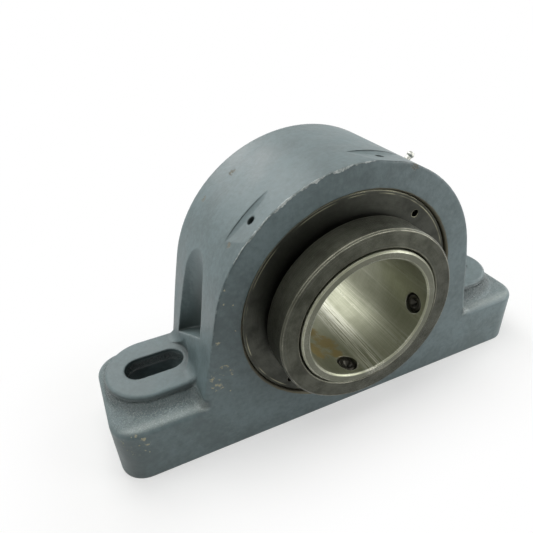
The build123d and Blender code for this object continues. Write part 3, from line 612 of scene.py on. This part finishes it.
@dataclass
class CastHousing:
    """The casting and the paint that has built up and chipped along its front edge."""

    flat_depth: float = 0.4     # at the front edge
    flat_rear_depth: float = 2.3
    flat_angles: tuple[float, ...] = (131.7, 76.8)
    fairing_reach: float = 4.8  # length of the slope behind each flat
    lift: float = 0.16          # thickness of the ridge of paint
    sink: float = 0.06          # how deep its borders lie in the casting
    edge_start: float = 84.0    # degrees, seen from the front
    edge_end: float = 146.0
    edge_steps: int = 900
    marks: tuple[Spot, ...] = (
        Spot(-108.7, FRONT_Y, 1.5, 1.6, Mark.CHIP), Spot(-108.1, FRONT_Y, -21.8, 0.9, Mark.CHIP),
        Spot(-95.0, FRONT_Y, 8.0, 0.6, Mark.CHIP), Spot(-112.8, FRONT_Y, -36.9, 1.1, Mark.CHIP),
        Spot(-109.5, FRONT_Y, -40.5, 0.7, Mark.CHIP), Spot(-104.0, FRONT_Y, -47.0, 0.6, Mark.CHIP),
        Spot(-176.5, FRONT_Y, -69.5, 0.9, Mark.CHIP), Spot(-170.8, FRONT_Y, -79.7, 0.8, Mark.CHIP),
        Spot(-95.0, FRONT_Y, 30.0, 0.7, Mark.CHIP), Spot(-99.8, FRONT_Y, 44.0, 0.7, Mark.CHIP),
        Spot(-101.5, FRONT_Y, 33.0, 0.8, Mark.CHIP),
        Spot(-107.0, FRONT_Y, -24.5, 4.2, Mark.SCRAPE), Spot(-112.5, FRONT_Y, -37.5, 4.6, Mark.SCRAPE),
        Spot(-109.0, FRONT_Y, -31.0, 7.5, Mark.SCRAPE), Spot(-178.0, FRONT_Y, -66.0, 5.0, Mark.SCRAPE),
        Spot(-180.0, FRONT_Y, -69.0, 9.0, Mark.SCRAPE),
        Spot(45.3, -55.0, 101.2, 4.2, Mark.RUST), Spot(-62.0, 18.4, 92.0, 3.0, Mark.RUST),
        Spot(-83.9, 25.1, 72.5, 2.8, Mark.RUST), Spot(-88.5, -39.6, 66.8, 2.2, Mark.RUST))

    def outline(self) -> tuple[np.ndarray, np.ndarray, np.ndarray]:
        """Front edge of the arch, as points from the shaft's axis.

        The radius is the arch's, cut back to each flat's chord.

        Returns:
            Points (n, 2) in X and Z, outward normals (n, 2), and the distance along the edge.
        """
        angle = np.radians(np.linspace(self.edge_start, self.edge_end, self.edge_steps))
        radius = np.full_like(angle, ARCH_R)
        normal = angle.copy()
        for middle in np.radians(self.flat_angles):
            chord = (ARCH_R - self.flat_depth) / np.cos(np.clip(angle - middle, -1, 1))
            normal = np.where(chord < radius, middle, normal)
            radius = np.minimum(radius, chord)
        arc = np.stack([radius * np.cos(angle), radius * np.sin(angle)], -1)
        step = np.linalg.norm(np.diff(arc, axis=0), axis=1)
        return arc, np.stack([np.cos(normal), np.sin(normal)], -1), np.concatenate([[0], np.cumsum(step)])

    def paint_ridge(self) -> bpy.types.Object:
        """Ridge of paint over the front edge, with a wavy, chipped lower border.

        Along the edge the section keeps its shape. Its depth on the front face and its reach on
        the arch are irregular curves that run out at the ends, and it sinks into the casting at
        both borders.

        Returns:
            The piece.
        """
        points, normals, along = self.outline()
        face = 1.1 + 1.5 * ripple(along, seed=3, longest=34, shortest=2.2)
        face = np.clip(face * np.interp(along, [0, 12, 88, 104, along[-1]], [0.1, 1, 1, 0.45, 0.05]), 0.08, 3)
        back = np.clip(0.9 + 0.7 * ripple(along, seed=8, longest=26, shortest=3), 0.2, 2)
        level = np.zeros_like(back)
        rows = []
        for out, rear in ((-self.sink, back), (self.lift * 0.8, back * 0.6), (self.lift, level),
                          (self.lift * 0.4, level - self.lift * 0.8)):
            flat = points + normals * out
            rows.append(np.stack([flat[:, 0], FRONT_Y + rear, flat[:, 1] + AXIS_Z], -1))
        for share, out in ((0.35, self.lift), (0.8, self.lift * 0.8), (1.0, -self.sink)):
            flat = points - normals * (face * share)[:, None]
            rows.append(np.stack([flat[:, 0], np.full(len(flat), FRONT_Y - out), flat[:, 1] + AXIS_Z], -1))
        return surface("edge_paint_ridge", np.stack(rows, 1))

    def flat_slope(self, name: str, middle: float) -> bpy.types.Object:
        """Soft slope that the mould left between the rear end of a flat and the arch.

        Along the flat the slope's height follows the step, which is highest in the middle and runs
        out at both ends. Across, it falls from the step in a hollow curve and sinks into the flat.

        Args:
            name: name of the piece.
            middle: angle of the flat, in degrees, seen from the front.

        Returns:
            The piece.
        """
        overlap = 0.3               # how far the slope starts inside the step
        low = ARCH_R - self.flat_rear_depth
        half = math.sqrt(ARCH_R ** 2 - low ** 2)
        along = np.linspace(-half * 0.995, half * 0.995, 140)[:, None]
        across = np.linspace(0, 1, 14)[None, :]
        step = np.sqrt(ARCH_R ** 2 - along ** 2) - low
        reach = self.fairing_reach * np.sqrt(step / self.flat_rear_depth)
        y = FLAT_REAR_Y + overlap - (reach + overlap) * across
        flat = low + (FLAT_REAR_Y - y) * (self.flat_rear_depth - self.flat_depth) / (FLAT_REAR_Y - FRONT_Y)
        share = np.interp(along, [-half, half], [0.97, 0.72])
        height = flat + step * share * (1 - across) ** 1.5 - self.sink * across
        turn = math.radians(middle)
        return surface(name, np.stack([height * math.cos(turn) - along * math.sin(turn), y,
                                       height * math.sin(turn) + along * math.cos(turn) + AXIS_Z], -1))

    def add(self, piece: bpy.types.Object, finish: Finish) -> None:
        """Paint a new piece and fix it to the casting."""
        piece.data.materials.append(finish.material())
        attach(piece, "housing")
        log.info("built %s", piece.name)

    def build(self) -> None:
        """Dress the casting and add the ridge and the slopes behind the flats."""
        enamel = CastingEnamel("slate_enamel_on_cast_iron", gloss=0.35, marks=self.marks)
        dress("housing", enamel)
        for name, middle in zip(("left_flat_slope", "top_flat_slope"), self.flat_angles):
            self.add(self.flat_slope(name, middle), enamel)
        # The ridge's pale colour is thin pale paint and a painted highlight along the arch's front edge.
        self.add(self.paint_ridge(), CastingEnamel("enamel_edge_ridge_painted_highlight", deep="#6f7b79", pale="#c9cfcc",
                                                   roughness=0.26, cloud_mm=5.0, wave_mm=3.0, peel_mm=1.4))


@dataclass
class RollerBearing:
    """Rings, rollers, cages and seals."""

    bore_marks: tuple[Spot, ...] = (
        Spot(-15.0, -42.0, -47.7, 13.0, Mark.RUST), Spot(-31.0, -52.0, -39.0, 14.0, Mark.RUST),
        Spot(-12.0, -56.0, -48.5, 7.0, Mark.RUST), Spot(-20.0, -24.0, -45.8, 10.0, Mark.RUST),
        # The last spot lays bright lines where the bore's highlight falls: rub marks and a painted highlight.
        Spot(8.0, 0.0, -49.4, 12.0, Mark.RUB_AND_HIGHLIGHT))

    def build(self) -> None:
        """Dress every solid of the bearing."""
        ground = TurnedSteel("ground_bearing_steel", steel="#8e907c", stain="#767862", wear_and_highlight="#cfcfbf",
                             metallic=0.6, roughness=0.32, ring_depth=0.03, streak_share=0.32,
                             stain_share=0.5, end_shade=0.55, marks=self.bore_marks)
        race = TurnedSteel("polished_race_steel", steel="#b4b3ae", stain="#97958f", roughness=0.16,
                           ring_depth=0.004)
        pressed = TurnedSteel("pressed_sheet_steel", steel="#8c8a84", stain="#76746d", roughness=0.36,
                              ring_depth=0.006)
        rubber = MouldedSoft("nitrile_rubber")
        finishes = {"inner_ring": ground,
                    "outer_ring": race, "rollers_front": race, "rollers_rear": race, "guide_ring": race,
                    "grease_check_ball": race,
                    "cage_front": pressed, "cage_rear": pressed, "front_seal_ring": pressed,
                    "rear_seal_ring": pressed,
                    "front_seal_lip": rubber, "rear_seal_lip": rubber}
        for node, finish in finishes.items():
            dress(node, finish)


@dataclass
class EndCover:
    """Threaded cover with its lock screws."""

    # A bright ring on the cover's face, partly a painted highlight of an edge.
    scored_and_highlight_radii: tuple[float, ...] = (87.0,)

    def build(self) -> None:
        """Dress the cover, the lock screws and the soft plugs."""
        dress("threaded_cover", TurnedSteel("phosphated_steel", steel="#44453f", stain="#31322d",
                                            wear_and_highlight="#9c9a82", roughness=0.38, ring_mm=0.8, ring_depth=0.07,
                                            edge_mm=1.0, scored_and_highlight_radii=self.scored_and_highlight_radii))
        dress("cover_lock_screws", TurnedSteel("black_oxide_screw", steel="#5a4f3f", stain="#2b2a26",
                                               wear_and_highlight="#6b6558", roughness=0.42, ring_depth=0.01))
        dress("lock_screw_plugs", MouldedSoft("natural_nylon", colour="#d8d2c2", shade="#cbc4b2",
                                              roughness=0.45))


@dataclass
class ShaftCollar:
    """Locking collar and its two set screws."""

    def build(self) -> None:
        """Dress the collar and the screws."""
        dress("locking_collar", TurnedSteel("oiled_dark_steel", steel="#4e4f46", stain="#36372f",
                                            wear_and_highlight="#b3b1a0", roughness=0.36, ring_mm=0.6, ring_depth=0.25,
                                            edge_mm=1.1, turned=0.6))
        dress("collar_set_screws", TurnedSteel("black_oxide_set_screw", steel="#35342f", stain="#262521",
                                               wear_and_highlight="#77736a", roughness=0.38, ring_depth=0.01))


@dataclass
class GreaseNipple:
    """Grease fitting with its spring."""

    def build(self) -> None:
        """Dress the fitting and the spring in it."""
        zinc = TurnedSteel("zinc_plated_steel", steel="#c9cac4", stain="#a9aaa2", wear_and_highlight="#e4e4de",
                           roughness=0.3, ring_depth=0.006, edge_mm=0.3)
        for node in ("grease_fitting", "grease_check_spring"):
            dress(node, zinc)


@dataclass(frozen=True)
class Softbox:
    """A rectangular soft lamp: its middle and its width and height in metres, its power in watts."""

    name: str
    place: tuple[float, float, float]
    size: tuple[float, float]
    power: float


@dataclass
class Studio:
    """Camera, soft lamps, pale floor and white background."""

    azimuth: float = -22.70     # degrees; 0 looks along +Y
    elevation: float = 32.97
    roll: float = 3.03
    focal: float = 480 / 533    # in widths of the picture
    target: tuple[float, float, float] = (0.0, -8.0, AXIS_Z)
    offset: tuple[float, float, float] = (45.858, 3.812, 404.798)   # of the target: right, down, ahead
    sky_level: float = 0.04
    aim: tuple[float, float, float] = (0.0, 0.0, 0.1)   # where every lamp points, in metres
    lamps: tuple[Softbox, ...] = (
        Softbox("top_softbox", (-0.15, 0.1, 1.2), (1.0, 0.8), 7.5),
        Softbox("back_softbox", (-0.3, 0.9, 0.85), (0.9, 0.8), 6.4),
        Softbox("left_fill", (-0.95, 0.0, 0.56), (0.9, 0.12), 3.2),
        Softbox("right_fill", (0.54, -0.42, 0.27), (0.4, 0.4), 2.5),
        Softbox("far_right_fill", (1.0, 0.1, 0.5), (0.7, 0.7), 3.2))
    floor_half: float = 3.0     # metres
    floor_drop: float = 0.2     # millimetres below the base
    base_half: tuple[float, float, float] = (0.19, 0.05, 1.0)   # metres, inside which the floor is darkest
    fade_width: float = 0.11    # metres, from there to plain white
    white_share: float = 0.45   # of the white at the base's edge

    def camera(self) -> None:
        """Place the camera at the photograph's viewing angle."""
        turn, rise, lean = (math.radians(v) for v in (self.azimuth, self.elevation, self.roll))
        ahead = -Vector((math.sin(turn) * math.cos(rise), -math.cos(turn) * math.cos(rise), math.sin(rise)))
        right = ahead.cross(Vector((0, 0, 1))).normalized()
        down = ahead.cross(right)
        tilted = math.cos(lean) * right + math.sin(lean) * down
        below = -math.sin(lean) * right + math.cos(lean) * down
        spot = Vector(self.target) - tilted * self.offset[0] - below * self.offset[1] - ahead * self.offset[2]
        data = bpy.data.cameras.new("camera")
        data.sensor_width = 36.0
        data.lens = self.focal * data.sensor_width
        data.clip_start = 0.01
        eye = bpy.data.objects.new("camera", data)
        axes = Matrix((tilted, -below, -ahead)).transposed().to_4x4()
        eye.matrix_world = Matrix.Translation(spot * MM) @ axes
        bpy.context.scene.collection.objects.link(eye)
        bpy.context.scene.camera = eye

    def light(self, softbox: Softbox) -> None:
        """Add one lamp, turned to the object."""
        data = bpy.data.lights.new(softbox.name, "AREA")
        data.shape = "RECTANGLE"
        data.size, data.size_y = softbox.size
        data.energy = softbox.power
        lamp = bpy.data.objects.new(softbox.name, data)
        lamp.location = softbox.place
        lamp.rotation_euler = (Vector(self.aim) - Vector(softbox.place)).to_track_quat("-Z", "Y").to_euler()
        bpy.context.scene.collection.objects.link(lamp)

    def seen(self, tree: bpy.types.NodeTree) -> bpy.types.Node:
        """1 for rays that show the background: camera, glossy and transmission rays."""
        path = add_node(tree, "ShaderNodeLightPath")
        first = add_node(tree, "ShaderNodeMath", {0: path.outputs["Is Camera Ray"],
                                                  1: path.outputs["Is Glossy Ray"]}, operation="MAXIMUM")
        return add_node(tree, "ShaderNodeMath", {0: first, 1: path.outputs["Is Transmission Ray"]},
                        operation="MAXIMUM")

    def background(self) -> None:
        """White behind the object, and a plain level of light from the sky elsewhere."""
        world = bpy.data.worlds.new("studio")
        world.use_nodes = True
        tree = world.node_tree
        shade = tree.nodes["Background"]
        level = add_node(tree, "ShaderNodeMix", {0: self.seen(tree), 2: self.sky_level, 3: 1.0},
                         data_type="FLOAT")
        shade.inputs["Color"].default_value = (1, 1, 1, 1)
        tree.links.new(level.outputs[0], shade.inputs["Strength"])
        bpy.context.scene.world = world

    def floor(self) -> None:
        """Pale floor that keeps the object's shadow and fades to white away from it."""
        grid = np.linspace(-self.floor_half, self.floor_half, 9) / MM
        x, y = np.meshgrid(grid, grid, indexing="ij")
        ground = surface("floor", np.stack([x, y, np.full_like(x, -self.floor_drop)], -1))
        paper = bpy.data.materials.new("matt_white_paper")
        paper.use_nodes = True
        tree = paper.node_tree
        matt = tree.nodes["Principled BSDF"]
        matt.inputs["Base Color"].default_value = linear("#f4f4f2")
        matt.inputs["Roughness"].default_value = 0.9
        matt.inputs["Specular IOR Level"].default_value = 0.1
        place = add_node(tree, "ShaderNodeTexCoord").outputs["Object"]
        side = add_node(tree, "ShaderNodeVectorMath", {0: place}, operation="ABSOLUTE")
        beyond = add_node(tree, "ShaderNodeVectorMath", {0: side, 1: self.base_half}, operation="SUBTRACT")
        beyond = add_node(tree, "ShaderNodeVectorMath", {0: beyond, 1: (0, 0, 0)}, operation="MAXIMUM")
        away = add_node(tree, "ShaderNodeVectorMath", {0: beyond}, operation="LENGTH")
        fade = mask(tree, (away, 0.0, self.fade_width, self.white_share, 1.0))
        fade = add_node(tree, "ShaderNodeMath", {0: fade, 1: self.seen(tree)}, operation="MULTIPLY")
        white = add_node(tree, "ShaderNodeEmission", {"Color": (1, 1, 1, 1), "Strength": 1.0})
        mixed = add_node(tree, "ShaderNodeMixShader", {0: fade, 1: matt, 2: white})
        tree.links.new(mixed.outputs[0], tree.nodes["Material Output"].inputs["Surface"])
        ground.data.materials.append(paper)

    def build(self) -> None:
        """Set up the whole studio."""
        bpy.context.scene.view_settings.view_transform = "Standard"
        self.camera()
        self.background()
        self.floor()
        for softbox in self.lamps:
            self.light(softbox)
        log.info("studio ready")


def main() -> None:
    """Dress the bearing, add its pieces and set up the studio."""
    logging.basicConfig(level=logging.INFO, format="%(name)s: %(message)s")
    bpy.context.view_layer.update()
    for assembly in (Studio(), CastHousing(), EndCover(), RollerBearing(), ShaftCollar(), GreaseNipple()):
        assembly.build()


if __name__ == "__main__":
    main()
